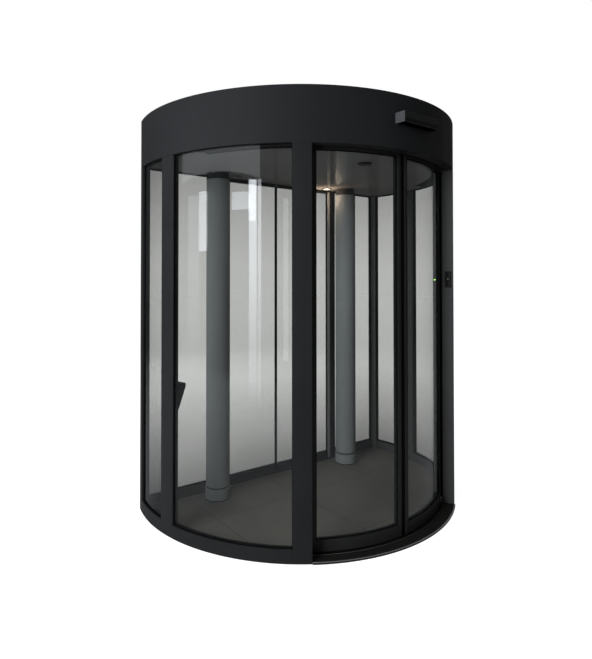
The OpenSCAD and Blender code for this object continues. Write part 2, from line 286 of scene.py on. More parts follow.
def heightOf(tree, coords):
    return addNode(tree, "SeparateXYZ", {0: coords}).outputs["Z"]


def mathNode(tree, operation, first, second, clamp=False):
    return addNode(tree, "Math", {0: first, 1: second}, operation=operation, use_clamp=clamp).outputs[0]


def noiseNode(tree, coords, scale, detail=3.0, roughness=0.6, stretch=(1, 1, 1)):
    mapping = addNode(tree, "Mapping", {"Vector": coords, "Scale": stretch})
    inputs = {"Vector": mapping.outputs[0], "Scale": scale, "Detail": detail, "Roughness": roughness}
    return addNode(tree, "TexNoise", inputs).outputs["Fac"]


def rangeNode(tree, value, low, high, fromLow=0.3, fromHigh=0.7):
    ends = {"From Min": fromLow, "From Max": fromHigh, "To Min": low, "To Max": high}
    return addNode(tree, "MapRange", {"Value": value, **ends}).outputs["Result"]


def mixColours(tree, share, first, second, blend="MIX"):
    inputs = {0: share, 6: first, 7: second}
    return addNode(tree, "Mix", inputs, data_type="RGBA", blend_type=blend).outputs[2]


def bumpNode(tree, height, look):
    inputs = {"Height": height, "Strength": look["bump"], "Distance": look["bumpDepth"]}
    return addNode(tree, "Bump", inputs).outputs["Normal"]


def showSurface(tree, shader):
    addNode(tree, "OutputMaterial", {"Surface": shader.outputs[0]})


plainCoat = {
    "cloudScale": 3.0, "grainScale": 900, "grainStretch": (1, 1, 1), "smearScale": 14,
    "smearStretch": (1, 1, 0.25), "dust": 0, "dustHeight": 0.22, "dustColour": (0.12, 0.115, 0.105),
    "dustPatches": (0.15, 1.0), "bump": 0.05, "bumpDepth": 0.0005, "metallic": 0.0, "specular": 0.5,
}


def coat(name, ownLook):
    # cloudy colour, uneven gloss, fine grain, and dust near the floor
    look = {**plainCoat, **ownLook}
    material, tree, coords = newMaterial(name)
    clouds = rangeNode(tree, noiseNode(tree, coords, look["cloudScale"], 4, 0.55), 0, 1)
    colour = mixColours(tree, clouds, *look["colours"])
    grain = noiseNode(tree, coords, look["grainScale"], 2, stretch=look["grainStretch"])
    smear = noiseNode(tree, coords, look["smearScale"], 5, stretch=look["smearStretch"])
    roughness = rangeNode(tree, smear, *look["roughness"])
    if look["dust"]:
        low = rangeNode(tree, heightOf(tree, coords), 1, 0, 0, look["dustHeight"])
        patches = mathNode(tree, "MULTIPLY", low, rangeNode(tree, smear, *look["dustPatches"]))
        dust = mathNode(tree, "MULTIPLY", patches, look["dust"])
        colour = mixColours(tree, dust, colour, look["dustColour"])
        roughness = mathNode(tree, "ADD", roughness, dust, clamp=True)
    shader = addNode(tree, "BsdfPrincipled", {
        "Base Color": colour,
        "Roughness": roughness,
        "Normal": bumpNode(tree, grain, look),
        "Metallic": look["metallic"],
        "Specular IOR Level": look["specular"],
    })
    showSurface(tree, shader)
    return material


def clearGlass(name, look):
    # lamps pass through it, it mirrors more at a flat angle, and its tint darkens towards the floor and the
    # top, painted shade on what shows through it
    material, tree, coords = newMaterial(name)
    smear = noiseNode(tree, coords, look["smearScale"], 4, stretch=(1, 1, 0.3))
    climb = rangeNode(tree, heightOf(tree, coords), 0, 1, 0, passage)
    uneven = rangeNode(tree, smear, -look["uneven"], look["uneven"])
    ramp = addNode(tree, "ValToRGB", {0: mathNode(tree, "ADD", climb, uneven, clamp=True)})
    stops = ramp.color_ramp.elements
    while len(stops) < len(look["paintedShadeByHeight"]):
        stops.new(0.5)
    for stop, (height, clear) in zip(stops, look["paintedShadeByHeight"]):
        stop.position = height / passage
        stop.color = (*(c * clear for c in look["tint"]), 1)
    through = addNode(tree, "BsdfTransparent", {"Color": ramp.outputs[0]})
    wipe = noiseNode(tree, coords, look["wipeScale"], 5, 0.65, (1, 1, 0.2))
    roughness = rangeNode(tree, wipe, *look["roughness"])
    mirror = addNode(tree, "BsdfGlossy", {"Color": look["mirror"], "Roughness": roughness})
    facing = addNode(tree, "LayerWeight", {"Blend": 0.5}).outputs["Facing"]
    steep = mathNode(tree, "POWER", facing, look["steepness"])
    share = rangeNode(tree, steep, look["headOn"], look["grazing"], 0, 1)
    showSurface(tree, addNode(tree, "MixShader", {0: share, 1: through.outputs[0], 2: mirror.outputs[0]}))
    return material


def tiles(name, look):
    # each tile a little different, with fine joints and a matt grain
    material, tree, coords = newMaterial(name)
    mapping = addNode(tree, "Mapping", {"Vector": coords, "Location": look["shift"]})
    brick = addNode(tree, "TexBrick", {
        "Vector": mapping.outputs[0],
        "Color1": look["colours"][0],
        "Color2": look["colours"][1],
        "Mortar": look["joint"],
        "Scale": 1,
        "Mortar Size": look["jointWidth"] / 2,
        "Mortar Smooth": 0.3,
        "Bias": 0,
        "Brick Width": look["tile"],
        "Row Height": look["tile"],
    }, offset=0.0, squash=1.0)
    clouds = noiseNode(tree, coords, look["cloudScale"], 5)
    grit = noiseNode(tree, coords, look["gritScale"], 3)
    colour = brick.outputs["Color"]
    for pattern, (dark, light) in ((clouds, look["cloudTones"]), (grit, look["gritTones"])):
        tone = mixColours(tree, rangeNode(tree, pattern, 0, 1), dark, light)
        colour = mixColours(tree, 1, colour, tone, "MULTIPLY")
    gritHeight = rangeNode(tree, grit, 0, look["gritHeight"])
    height = mathNode(tree, "SUBTRACT", gritHeight, brick.outputs["Fac"])
    shader = addNode(tree, "BsdfPrincipled", {
        "Base Color": colour,
        "Roughness": rangeNode(tree, clouds, *look["roughness"]),
        "Normal": bumpNode(tree, height, look),
        "Specular IOR Level": look["specular"],
    })
    showSurface(tree, shader)
    return material


def lampLens(name, colour, strength):
    # an unlit or shining lens with a fine frost in it
    material, tree, coords = newMaterial(name)
    frost = rangeNode(tree, noiseNode(tree, coords, 260), 0, 1)
    shader = addNode(tree, "BsdfPrincipled", {
        "Base Color": mixColours(tree, frost, tuple(c * 0.85 for c in colour), colour),
        "Roughness": 0.35,
        "Emission Color": colour,
        "Emission Strength": strength,
    })
    showSurface(tree, shader)
    return material


looks = {
    "frameCoat": {
        "colours": ((0.0175, 0.018, 0.019), (0.0215, 0.022, 0.023)), "roughness": (0.4, 0.54),
        "dust": 0.03, "specular": 0.13, "grainScale": 700, "bump": 0.03,
    },
    "canopyCoat": {
        "colours": ((0.018, 0.019, 0.0205), (0.0215, 0.0225, 0.024)), "roughness": (0.42, 0.56),
        "cloudScale": 1.5, "specular": 0.1, "grainScale": 700, "bump": 0.03,
    },
    "leafCoat": {
        "colours": ((0.0185, 0.019, 0.0185), (0.0225, 0.023, 0.0225)), "roughness": (0.3, 0.42),
        "dust": 0.08, "specular": 0.2, "grainScale": 700, "bump": 0.03,
    },
    "ceilingLacquer": {
        "colours": ((0.44, 0.44, 0.43), (0.48, 0.48, 0.47)), "roughness": (0.13, 0.2), "cloudScale": 1.2,
        "grainScale": 5, "bump": 0.04, "bumpDepth": 0.002, "specular": 0.8,
    },
    "trackMetal": {
        "colours": ((0.02, 0.02, 0.021), (0.03, 0.03, 0.031)), "roughness": (0.35, 0.5), "metallic": 0.6,
    },
    "columnPaint": {
        "colours": ((0.325, 0.352, 0.362), (0.355, 0.382, 0.392)), "roughness": (0.36, 0.48),
        "cloudScale": 2.0, "dust": 0.08, "dustHeight": 0.3, "specular": 0.35, "grainScale": 600,
        "bump": 0.02,
    },
    # painted shade: a dark grey for the column necks under the ceiling
    "paintedShadeNeck": {
        "colours": ((0.04, 0.042, 0.045), (0.05, 0.052, 0.055)), "roughness": (0.4, 0.5), "specular": 0.3,
    },
    # the sill's own dark coat, also painted shade on the nosing's front
    "sillCoatAndPaintedShade": {
        "colours": ((0.008, 0.008, 0.008), (0.013, 0.013, 0.012)), "roughness": (0.5, 0.65), "dust": 0.06,
        "specular": 0.12,
    },
    "nosingMetal": {
        "colours": ((0.28, 0.28, 0.275), (0.33, 0.33, 0.325)), "roughness": (0.34, 0.46), "metallic": 0.3,
        "grainScale": 300, "grainStretch": (0.2, 0.2, 8), "bump": 0.05,
    },
    # black rubber for gaskets and seals, also painted shade on the column bases' foot rings and grooves
    "rubberAndPaintedShade": {
        "colours": ((0.0035, 0.0035, 0.0035), (0.006, 0.006, 0.006)), "roughness": (0.55, 0.75),
        "specular": 0.12,
    },
    "bristle": {
        "colours": ((0.004, 0.004, 0.004), (0.008, 0.008, 0.0075)), "roughness": (0.8, 0.9),
        "grainScale": 1600, "grainStretch": (4, 4, 0.15), "bump": 0.3, "specular": 0.05,
    },
    # painted light: a paler grey for the near end cap, which shows lit
    "paintedLitCap": {
        "colours": ((0.062, 0.065, 0.068), (0.072, 0.075, 0.078)), "roughness": (0.34, 0.44),
        "specular": 0.25,
    },
    "sensorShell": {
        "colours": ((0.014, 0.015, 0.015), (0.018, 0.019, 0.019)), "roughness": (0.36, 0.46),
        "specular": 0.25,
    },
    "darkWindow": {
        "colours": ((0.002, 0.002, 0.0025), (0.004, 0.0035, 0.004)), "roughness": (0.06, 0.14),
        "bump": 0.0, "specular": 0.3,
    },
    "blackPlastic": {
        "colours": ((0.006, 0.006, 0.0065), (0.01, 0.01, 0.0105)), "roughness": (0.24, 0.36),
        "specular": 0.3,
    },
    "trimRing": {
        "colours": ((0.32, 0.32, 0.31), (0.4, 0.4, 0.39)), "roughness": (0.25, 0.35), "metallic": 0.8,
    },
    "roofCoat": {
        "colours": ((0.02, 0.021, 0.022), (0.03, 0.031, 0.032)), "roughness": (0.55, 0.7),
        "cloudScale": 4.0, "specular": 0.25,
    },
    "glassEdge": {
        "colours": ((0.006, 0.009, 0.008), (0.009, 0.013, 0.012)), "roughness": (0.15, 0.25),
        "specular": 0.2,
    },
    # painted light: a paler grey that stands in for the light on side faces and reveals
    "paintedLightSide": {
        "colours": ((0.08, 0.081, 0.082), (0.092, 0.093, 0.094)), "roughness": (0.38, 0.5),
        "specular": 0.2, "dust": 0.08, "grainScale": 700,
    },
    # painted light: a pale grey for the corner post's inner faces, which are in shade but looked lit
    "paintedLightCorner": {
        "colours": ((0.24, 0.243, 0.243), (0.27, 0.273, 0.273)), "roughness": (0.38, 0.5),
        "specular": 0.25, "dust": 0.08, "grainScale": 700,
    },
    # painted light: a pale grey for the rear leaves' stile faces, which looked lit
    "paintedLightStile": {
        "colours": ((0.42, 0.435, 0.44), (0.46, 0.475, 0.48)), "roughness": (0.36, 0.48),
        "specular": 0.35, "dust": 0.1,
    },
    # painted light: a pale metal for the strip on the sliding leaves' stile side faces, which show lit
    "paintedLightLining": {
        "colours": ((0.36, 0.36, 0.35), (0.42, 0.42, 0.41)), "roughness": (0.35, 0.5), "metallic": 0.2,
        "grainStretch": (4, 4, 0.1), "specular": 0.3,
    },
    "steel": {
        "colours": ((0.35, 0.35, 0.34), (0.45, 0.45, 0.44)), "roughness": (0.25, 0.35), "metallic": 1.0,
    },
}
finish = {name: coat(name, look) for name, look in looks.items()}
glass = {
    "tint": (0.863, 0.867, 0.860), "mirror": (0.92, 0.96, 1.0), "roughness": (0.005, 0.03),
    "headOn": 0.032, "grazing": 0.68, "steepness": 5, "smearScale": 2.2, "wipeScale": 9, "uneven": 0.01,
}
paintedShadeByHeight = {  # painted shade: how clear the glass is at a height, darker near the floor
    "paneGlass": ((0, 0.95), (0.6, 0.97), (1.2, 1.0), (1.5, 0.995), (2.1, 0.95)),
    "rearGlass": (
        (0.05, 0.54), (0.3, 0.70), (0.7, 0.90), (1.2, 0.96), (1.5, 0.96), (1.8, 0.90), (2.1, 0.80),
    ),
}
for name, heights in paintedShadeByHeight.items():
    finish[name] = clearGlass(name, {**glass, "paintedShadeByHeight": heights})
floorLook = {
    "colours": ((0.200, 0.199, 0.176), (0.222, 0.220, 0.196)), "joint": (0.120, 0.118, 0.106),
    "jointWidth": 0.006, "tile": 0.6, "shift": (0.12, 0.18, 0), "roughness": (0.5, 0.65), "specular": 0.4,
    "cloudScale": 2.6, "cloudTones": ((0.86, 0.86, 0.86), (1.12, 1.12, 1.10)),
    "gritScale": 160, "gritTones": ((0.94, 0.94, 0.94), (1.06, 1.06, 1.06)), "gritHeight": 0.08,
    "bump": 0.35, "bumpDepth": 0.001,
}
finish["floorTiles"] = tiles("floorTiles", floorLook)
lenses = {
    "litLens": ((1.0, 0.96, 0.88), 6.0),
    "dimLens": ((0.35, 0.36, 0.36), 0.0),
    "greenLed": ((0.40, 0.95, 0.16), 3.0),
    "faintLed": ((0.30, 0.70, 0.18), 0.5),
}
for name, (colour, strength) in lenses.items():
    finish[name] = lampLens(name, colour, strength)
print("materials made:", len(finish))


wall = {"edge": 0.0018, "edgeSegments": 3, "step": 0.9, "cornerSegments": 720, "cornerInset": 0.0001}
baseRail = {"edge": 0.0012, "groove": 0.004, "grooveDepth": 0.008}
glazing = {
    "outer": drumRadius - 0.013, "inner": drumRadius - 0.025, "clearance": 0.001, "sunk": 0.006,
    "step": 0.75, "gasketWidth": 0.0035, "gasketDepth": 0.003, "gasketEdge": 0.001,
}
jambSeal = {"out": 0.005, "endGap": 0.003, "from": 0.03, "to": 0.5, "step": 0.3, "edge": 0.0012}
# the second finish is painted light, a paler grey for the side faces
darkAndPaintedLight = ["frameCoat", "paintedLightSide"]


def paintLightOnSides(bm, flat=False):
    # painted light: all upright faces but the outer one are a paler grey that stands in for the light they
    # catch; of a flat wall, only those towards the cabin
    for face in bm.faces:
        pale = face.normal.y < -0.5 if flat else face.normal.dot(outwardsAt(face)) < 0.35
        face.material_index = int(pale and abs(face.normal.z) < 0.5)
    return bm


def cornerPost():
    # a curved wing and a flat wing that closes the rear wall
    bm = flatRing(drumRadius, drumBack, drumRadius - slimRadius, wall["cornerSegments"])
    cutAway(bm, (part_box("rear_right_rail")[1].x, 0, 0), (-1, 0, 0))
    cut = math.radians(cornerStart)
    cutAway(bm, (0, 0, 0), (-math.cos(cut), -math.sin(cut), 0))
    roundEdges(raised(bm, 0, passage), wall["edge"], wall["edgeSegments"])
    for v in bm.verts:  # the sharp outer corner keeps inside the flat back
        v.co.y = min(v.co.y, drumBack - wall["cornerInset"])
    wingEnd = slimRadius * math.sin(cut) - 0.001
    for face in bm.faces:  # only the faces that show inside the cabin are pale, painted light
        inwards = face.normal.dot(outwardsAt(face)) < -0.7
        flatWing = face.normal.y < -0.5 and face.calc_center_median().x < wingEnd
        face.material_index = int(inwards or flatWing)
    return bm


def makePosts(side, flip):
    shape = (wall["step"], wall["edge"], wall["edgeSegments"])
    for name, inner, start, end, node in (
        ("JambPost", innerRadius, openingAngle, jambEnd, "_jamb_post"),
        ("Mullion", slimRadius, mullionStart, mullionEnd, "_mullion"),
    ):
        post = bar(inner, drumRadius, 0, passage, start, end, *shape)
        place(side + name, flip(paintLightOnSides(post)), darkAndPaintedLight, side + node)
    materials = ["frameCoat", "paintedLightCorner"]
    place(side + "CornerPost", flip(cornerPost()), materials, side + "_corner_post")


def makeJambSeal(side, flip):
    look, angle = jambSeal, openingAngle
    strip = bar(
        innerRadius - look["out"], innerRadius, floorTop + look["endGap"], passage - look["endGap"],
        angle + look["from"], angle + look["to"], look["step"], look["edge"],
    )
    place(side + "JambSeal", flip(strip), ["bristle"])


def makeBaseRails(side, flip):
    glassIn, glassOut = glazing["inner"] - baseRail["groove"], glazing["outer"] + baseRail["groove"]
    grooveFoot = railTop - baseRail["grooveDepth"]
    profile = (
        (slimRadius, 0),
        (drumRadius, 0),
        (drumRadius, railTop),
        (glassOut, railTop),
        (glassOut, grooveFoot),
        (glassIn, grooveFoot),
        (glassIn, railTop),
        (slimRadius, railTop),
    )
    rails = joined(
        sweep(profile, jambEnd, mullionStart, edge=baseRail["edge"]),
        sweep(profile, mullionEnd, cornerStart, edge=baseRail["edge"]),
    )
    place(side + "BaseRails", flip(paintLightOnSides(rails)), darkAndPaintedLight, side + "_base_rails")


def markEdges(bm, flatNormal=None):
    # the narrow rim faces of a pane get the second material
    for face in bm.faces:
        across = abs(face.normal.dot(flatNormal or outwardsAt(face)))
        face.material_index = int(across <= 0.7)
    return bm


def curvedPane(inner, outer, low, high, start, end):
    slack = turn(glazing["clearance"], outer)
    return markEdges(bar(inner, outer, low, high, start + slack, end - slack, glazing["step"]))


def fourSides(start, end, low, high, across, width):
    # the strips along the sides of a frame, each as (start, end, low, high)
    return (
        (start, end, high - width, high),
        (start, end, low, low + width),
        (start, start + across, low + width, high - width),
        (end - across, end, low + width, high - width),
    )


def gasketFrame(inner, outer, start, end, low, high, look):
    # strips on both faces of a curved pane
    width, depth = look["gasketWidth"], look["gasketDepth"]
    return joined(*[
        bar(a, b, foot, top, first, last, edge=glazing["gasketEdge"])
        for a, b in ((outer, outer + depth), (inner - depth, inner))
        for first, last, foot, top in fourSides(start, end, low, high, turn(width, a), width)
    ])


def makeCurvedGlass(side, flip):
    inner, outer = glazing["inner"], glazing["outer"]
    low, high = railTop - glazing["sunk"], passage - glazing["clearance"]
    for name, start, end, node in (
        ("Front", jambEnd, mullionStart, side + "_front_glass"),
        ("Side", mullionEnd, cornerStart, side + "_side_glass"),
    ):
        kind = "paneGlass" if node == "left_front_glass" else "rearGlass"
        pane = curvedPane(inner, outer, low, high, start, end)
        place(side + name + "Glass", flip(pane), [kind, "glassEdge"], node)
        strips = gasketFrame(inner, outer, start, end, railTop, passage, glazing)
        place(side + name + "Gasket", flip(strips), ["rubberAndPaintedShade"])


onBothSides(makePosts)
onBothSides(makeJambSeal)
onBothSides(makeBaseRails)
onBothSides(makeCurvedGlass)
print("curved wall made")


canopy = {"sheet": 0.004, "edge": 0.00125, "flange": 0.008, "ledge": 0.008, "slotOverlap": 0.001}


def makeCanopy():
    inner, back = drumRadius - canopy["sheet"], drumBack - canopy["sheet"]
    shell = raised(flatRing(drumRadius, drumBack, canopy["sheet"]), passage, totalHeight)
    roundEdges(shell, canopy["edge"])
    flangeTop = passage + canopy["flange"]
    flange = raised(flatRing(inner, back, inner - slimRadius), passage, flangeTop)
    slot = bar(innerRadius, slimRadius + canopy["slotOverlap"], passage, flangeTop, -trackEnd, trackEnd)
    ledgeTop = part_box("roof_panel")[0].z
    ledge = raised(flatRing(inner, back, inner - slimRadius), ledgeTop - canopy["ledge"], ledgeTop)
    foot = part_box("canopy_fascia")[0].z
    pins = [
        rod(pivot["radius"], foot, passage, (x, pivot["y"]), segments=32)
        for x in (-pivot["x"], pivot["x"])
    ]
    whole = joined(shell, flange, slot, ledge, *pins)
    place("canopyFascia", whole, ["canopyCoat"], "canopy_fascia")


roof = {
    "inset": 0.0043, "edge": 0.0008, "plateDown": 0.0015, "hatchDown": 0.0003, "hatchEdge": 0.0004,
    "hatchLow": (-0.30, -0.62), "hatchHigh": (0.30, -0.18), "screwX": (-0.28, 0, 0.28),
    "screwY": (-0.60, -0.20), "screw": ((0.005, 0.0004), (0.005, 0.0002), (0.003, 0)),
}


def makeRoof():
    low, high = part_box("roof_panel")[0].z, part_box("roof_panel")[1].z
    plateTop, hatchTop = high - roof["plateDown"], high - roof["hatchDown"]
    plate = raised(drumPlate(drumRadius - roof["inset"], drumBack - roof["inset"]), low, plateTop)
    roundEdges(plate, roof["edge"])
    hatch = block((*roof["hatchLow"], plateTop), (*roof["hatchHigh"], hatchTop), roof["hatchEdge"])
    head = [(radius, high - down) for radius, down in roof["screw"]]
    screws = [(lathe(head, (x, y), 20), 1) for x in roof["screwX"] for y in roof["screwY"]]
    whole = joined(plate, hatch, *screws)
    place("roofPanel", whole, ["roofCoat", "steel"], "roof_panel")


ceilingLight = {
    "ring": 0.009, "lip": 0.006, "rim": 0.002, "lens": 0.0095, "lensLow": 0.003, "lensHigh": 0.0045,
}
ceilingSensor = (  # share of its radius, and height above its underside
    (0.35, 0), (0.62, 0.0012), (0.82, 0.0035), (0.86, 0.0060), (0.96, 0.0065), (1, 0.0085),
)


def makeCeilingFittings():
    look = ceilingLight
    low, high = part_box("ceiling_lights")
    radius = (high.y - low.y) / 2
    y = (low.y + high.y) / 2
    for side, x, lens in (("left", low.x + radius, "dimLens"), ("right", high.x - radius, "litLens")):
        ring = (
            (radius - look["ring"], high.z - 0.001),
            (radius - look["ring"], low.z + look["lensLow"]),
            (radius - look["lip"], low.z),
            (radius - look["rim"], low.z),
            (radius, low.z + look["rim"]),
            (radius, high.z),
        )
        place(side + "LightTrim", lathe(ring, (x, y), 64), ["trimRing"], "ceiling_lights")
        foot, top = low.z + look["lensLow"], low.z + look["lensHigh"]
        disc = rod(radius - look["lens"], foot, top, (x, y), segments=64)
        place(side + "LightLens", disc, [lens])
    low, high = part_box("ceiling_sensor")
    radius = (high.x - low.x) / 2
    profile = [(radius * share, low.z + up) for share, up in ceilingSensor] + [(radius, high.z)]
    dome = lathe(profile, ((low.x + high.x) / 2, (low.y + high.y) / 2), 64)
    place("ceilingSensor", dome, ["blackPlastic"], "ceiling_sensor")


sensorBar = {
    "depth": 0.053, "cap": 0.008, "capGap": 0.0006, "corner": 0.004, "capCorner": 0.0024, "cuts": 12,
    "deep": 0.02, "behind": 0.0003, "window": 0.024, "windowInset": 0.009, "windowFoot": 0.0015,
    "windowThick": 0.006, "windowEdge": 0.002, "proud": 0.0005, "lensThick": 0.004, "lensGap": 0.002,
    "lensEdge": 0.0008,
}


def sensorHousing(x1, x2, corner):
    # its back follows the fascia's curve
    low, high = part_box("sensor_bar")
    front = -drumRadius - sensorBar["depth"] + sensorBar["proud"]
    bm = block((x1, front, low.z), (x2, -drumRadius + sensorBar["deep"], high.z))
    roundEdges(bm, corner, 4, onlyIf=lambda e: min(v.co.y for v in e.verts) < -drumRadius)
    for i in range(1, sensorBar["cuts"]):
        x = x1 + (x2 - x1) * i / sensorBar["cuts"]
        bmesh.ops.bisect_plane(bm, geom=allOf(bm), plane_co=(x, 0, 0), plane_no=(1, 0, 0))
    reach = drumRadius + sensorBar["behind"]
    for v in bm.verts:
        v.co.y = min(v.co.y, -math.sqrt(reach ** 2 - v.co.x ** 2))
    return bm


def makeSensorBar():
    look = sensorBar
    low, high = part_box("sensor_bar")
    half, front = high.x, -drumRadius - look["depth"]
    body = sensorHousing(-half + look["cap"], half - look["cap"], look["corner"])
    capIn = half - look["cap"] + look["capGap"]
    # the near end cap alone is paler, painted light on the lit end; the far cap keeps the shell's grey
    paintedLitEnd = sensorHousing(-half, -capIn, look["capCorner"])
    farCap = sensorHousing(capIn, half, look["capCorner"])
    reach, lensFront = half - look["windowInset"], front + look["proud"] + look["windowThick"]
    window = block(
        (-reach, front, low.z + look["windowFoot"]), (reach, lensFront, low.z + look["window"]),
        look["windowEdge"], 3,
    )
    lensBack = -drumRadius - look["lensGap"]
    lens = block((-reach, lensFront, low.z), (reach, lensBack, low.z + look["lensThick"]), look["lensEdge"])
    whole = joined(body, (paintedLitEnd, 2), farCap, (window, 1), (lens, 1))
    materials = ["sensorShell", "darkWindow", "paintedLitCap"]
    place("sensorBar", whole, materials, "sensor_bar")


makeCanopy()
makeRoof()
makeCeilingFittings()
makeSensorBar()
print("canopy made")


sill = {
    "nosingOut": 0.006, "nosingWidth": 0.008, "nosingEdge": 0.0012, "gap": 0.0003, "down": 0.0008,
    "edge": 0.0006, "strip": 0.0018, "screwInset": 1.1,
    "screw": ((0.0045, -0.001), (0.0045, 0.0004), (0.002, 0.0007)), "stripIn": 0.006, "stripOut": 0.0005,
    "rearEdge": 0.0008, "seatRadius": 0.014, "seatHeight": 0.0067,
}


def makeEntranceSill():
    outer = drumRadius + sill["nosingOut"]
    split = outer - sill["nosingWidth"]
    top = floorTop - sill["down"]
    tread = bar(innerRadius, split - sill["gap"], 0, top, -openingAngle, openingAngle, edge=sill["edge"])
    head = [(radius, top + up) for radius, up in sill["screw"]]
    screws = [
        (turned(lathe(head, (0, -(innerRadius + split) / 2), 24), angle), 1)
        for angle in (sill["screwInset"] - openingAngle, openingAngle - sill["screwInset"])
    ]
    whole = joined(tread, *screws)
    place("entranceSill", whole, ["sillCoatAndPaintedShade", "steel"], "entrance_sill")
    nosing = bar(split, outer, 0, floorTop, -openingAngle, openingAngle, 1.0, sill["nosingEdge"], 3)
    for face in nosing.faces:  # its front is painted shade, in the sill's dark coat
        face.material_index = int(face.normal.dot(outwardsAt(face)) > 0.75)
    place("sillNosing", nosing, ["nosingMetal", "sillCoatAndPaintedShade"], "sill_nosing")
    strip = bar(
        leafInner - sill["stripIn"], innerRadius - sill["stripOut"], floorTop, floorTop + sill["strip"],
        -openingAngle, openingAngle, edge=sill["edge"],
    )
    place("thresholdStrip", strip, ["bristle"])


def makeRearSill():
    low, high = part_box("rear_sill")
    seatTop = floorTop + sill["seatHeight"]
    pin = (
        (sill["seatRadius"], floorTop),
        (sill["seatRadius"], seatTop),
        (pivot["radius"], seatTop),
        (pivot["radius"], high.z),
    )
    pins = [lathe(pin, (x, pivot["y"]), 40) for x in (-pivot["x"], pivot["x"])]
    back = joined(block(low, (high.x, high.y, floorTop), sill["rearEdge"]), *pins)
    place("rearSill", back, ["sillCoatAndPaintedShade"], "rear_sill")


reader = {
    "width": 0.036, "thick": 0.009, "inset": 0.014, "gap": 0.0003, "edge": 0.003, "windowSide": 0.004,
    "windowEnd": 0.006, "windowProud": 0.0001, "windowDeep": 0.002, "windowEdge": 0.0008,
    "ledUp": 0.002, "led": ((0.0022, 0), (0.0022, 0.0010), (0.00132, 0.0014)),
}


def makeReader():
    look = reader
    low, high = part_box("access_reader")
    near = -drumRadius + look["inset"]
    far, face = near + look["width"], -look["thick"] - look["gap"]
    case = block((face, near, low.z), (-look["gap"], far, high.z), look["edge"], 4)
    window = block(
        (face - look["windowProud"], near + look["windowSide"], low.z + look["windowEnd"]),
        (-look["thick"] + look["windowDeep"], far - look["windowSide"], high.z - look["windowEnd"]),
        look["windowEdge"],
    )
    whole = turned(joined(case, (window, 1)), openingAngle)
    place("accessReader", whole, ["blackPlastic", "darkWindow"], "access_reader")
    led = turned(lathe(look["led"], segments=24), -90, "Y")
    moved(led, (face, (near + far) / 2, (low.z + high.z) / 2 + look["ledUp"]))
    place("readerLed", turned(led, openingAngle), ["faintLed"])


console = {
    "height": 0.138, "width": 0.084, "out": 0.057, "foot": 0.012, "lip": 0.020, "edge": 0.0015,
    "seat": 0.0003, "rim": 0.006, "rimDepth": 0.0012,
}


def makeConsole():
    look = console
    foot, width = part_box("call_console")[0].z, look["width"]
    back = look["seat"] + slimRadius - math.sqrt(slimRadius ** 2 - width ** 2 / 4)
    outline = (
        (0, back),
        (0, look["foot"]),
        (look["height"] - look["lip"], look["out"]),
        (look["height"], look["out"]),
        (look["height"], back),
    )
    bm = bmesh.new()
    bm.faces.new([bm.verts.new((-width / 2, -slimRadius + out, foot + up)) for up, out in outline])
    extruded(bm, (width, 0, 0))
    bmesh.ops.recalc_face_normals(bm, faces=bm.faces)
    front = max(bm.faces, key=lambda f: f.normal.y * 0.5 - f.normal.z * 0.3 + f.calc_area() * 10)
    bmesh.ops.inset_individual(
        bm, faces=[front], thickness=look["rim"], depth=-look["rimDepth"], use_even_offset=True
    )
    roundEdges(bm, look["edge"], 3)
    turned(bm, -(mullionStart + mullionEnd) / 2)
    place("callConsole", bm, ["blackPlastic"], "call_console")


makeEntranceSill()
makeRearSill()
makeReader()
makeConsole()
print("entrance made")


column = {
    "radius": 0.076, "bevel": 0.0015, "neckDepth": 0.006, "neckHeight": 0.048, "grooveDepth": 0.004,
    "grooveHeight": 0.008, "grooveChamfer": 0.003, "collarOut": 0.004, "foot": 0.004, "footInset": 0.002,
}


def makeColumn(side, flip):
    low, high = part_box("right_column")
    centre = ((low.x + high.x) / 2, (low.y + high.y) / 2)
    radius, bevel = column["radius"], column["bevel"]
    neckFoot, neckRadius = ceilingUnder - column["neckHeight"], radius - column["neckDepth"]
    shaft = rod(radius, low.z, neckFoot, centre, bevel, bevel)
    # the neck is dark grey, painted shade where the column meets the ceiling
    whole = joined(shaft, (rod(neckRadius, neckFoot, high.z, centre), 1))
    place(side + "Column", flip(whole), ["columnPaint", "paintedShadeNeck"], side + "_column")

    low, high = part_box("right_column_base")
    wide, coreRadius = radius + column["collarOut"], radius - column["grooveDepth"]
    groove, footTop = high.z - column["grooveHeight"], low.z + column["foot"]
    collar = rod(wide, footTop, groove, centre, bevel, column["grooveChamfer"])
    foot = rod(wide - column["footInset"], low.z, footTop, centre)
    core = rod(coreRadius, groove, high.z, centre)
    # the foot ring and the groove's core are black, painted shade: a contact shadow under the collar and
    # shade in the groove
    whole = joined(collar, (foot, 1), (core, 1))
    place(side + "ColumnBase", flip(whole), ["columnPaint", "rubberAndPaintedShade"], side + "_column_base")


onBothSides(makeColumn)
print("columns made")


rearWall = {
    "railEdge": 0.0012, "paneEdge": 0.0008, "paneGap": 0.001, "paneFoot": 0.0005, "gasketWidth": 0.005,
    "gasketDepth": 0.004, "gasketEdge": 0.001,
}
rearLeaf = {
    "stileWidth": 0.031, "nose": 0.0139, "edge": 0.001, "topRail": 0.012, "bottomEdge": 0.0012,
    "railGap": 0.0002, "paneGap": 0.0005, "gasketWidth": 0.0025, "gasketDepth": 0.003, "gasketEdge": 0.0005,
    "sealGap": 0.0012, "sealProud": 0.001, "sealEnd": 0.004, "sealEdge": 0.0015, "topSealFrom": 0.002,
    "topSealTo": 0.03, "topSealEdge": 0.001,
}


def flatPane(low, high):
    return markEdges(block(low, high, rearWall["paneEdge"], 1), Vector((0, 1, 0)))


